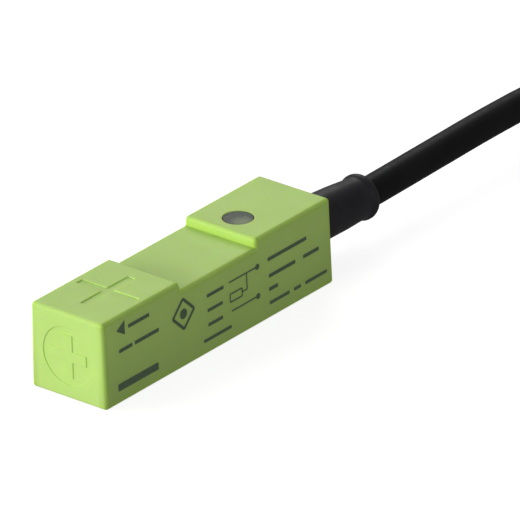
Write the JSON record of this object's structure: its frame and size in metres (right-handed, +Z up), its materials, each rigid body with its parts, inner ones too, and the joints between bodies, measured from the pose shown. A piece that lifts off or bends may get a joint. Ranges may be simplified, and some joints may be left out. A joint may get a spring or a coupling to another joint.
{
  "type": "proximity sensor",
  "caption": "Inductive proximity sensor in a slim square plastic case, with a clamp recess across its top, a cross marking the sensing axis and a moulded-on cable.",
  "frame": {"origin": "the middle of the housing's underside, which rests on the mounting surface", "axes": "+Z up out of the top, where the clamp recess is; the sensing face looks towards -Y and the cable leaves towards +Y; +X is the side that carries the printed marks"},
  "size_m": [0.0401, 0.1847, 0.0351],
  "materials": {
    "case": "satin moulded yellow-green plastic with a fine grain",
    "window": "smoky translucent moulded plastic",
    "bushing": "smooth black flexible plastic with a soft sheen",
    "ferrite": "dull dark grey sintered ferrite",
    "bobbin": "natural moulded plastic",
    "copper": "enamelled copper wire",
    "board": "green solder mask over glass laminate",
    "chip_body": "black moulded package with tinned leads",
    "capacitor": "tan ceramic with tinned ends",
    "resistor": "dark glazed ceramic with tinned ends",
    "led": "clear red epoxy",
    "solder": "bright tinned metal",
    "resin": "dark cast resin",
    "jacket": "black extruded cable jacket with a soft sheen",
    "print": "dark grey-green ink, printed on the case",
    "tie": "black moulded nylon",
    "brown_insulation": "brown extruded insulation",
    "black_insulation": "black extruded insulation",
    "blue_insulation": "blue extruded insulation"
  },
  "bodies": {
    "root": {"housing": "case", "end_cap": "case", "indicator_lens": "window", "cable_bushing": "bushing", "ferrite_core": "ferrite", "coil_bobbin": "bobbin", "coil_winding": "copper", "coil_wires": "copper", "circuit_board": "board", "detector_ic": "chip_body", "output_transistor": "chip_body", "voltage_regulator": "chip_body", "protection_diodes": "chip_body", "chip_capacitors": "capacitor", "chip_resistors": "resistor", "indicator_led": "led", "solder_joints": "solder", "potting_resin": "resin", "jacket_end": "jacket", "brown_wire": "brown_insulation", "black_wire": "black_insulation", "blue_wire": "blue_insulation", "cable_lead": "jacket", "cable_hank": "jacket", "cable_ties": "tie", "cable_tail": "jacket", "brown_lead": "brown_insulation", "black_lead": "black_insulation", "blue_lead": "blue_insulation", "tinned_tips": "solder"}
  },
  "joints": []
}
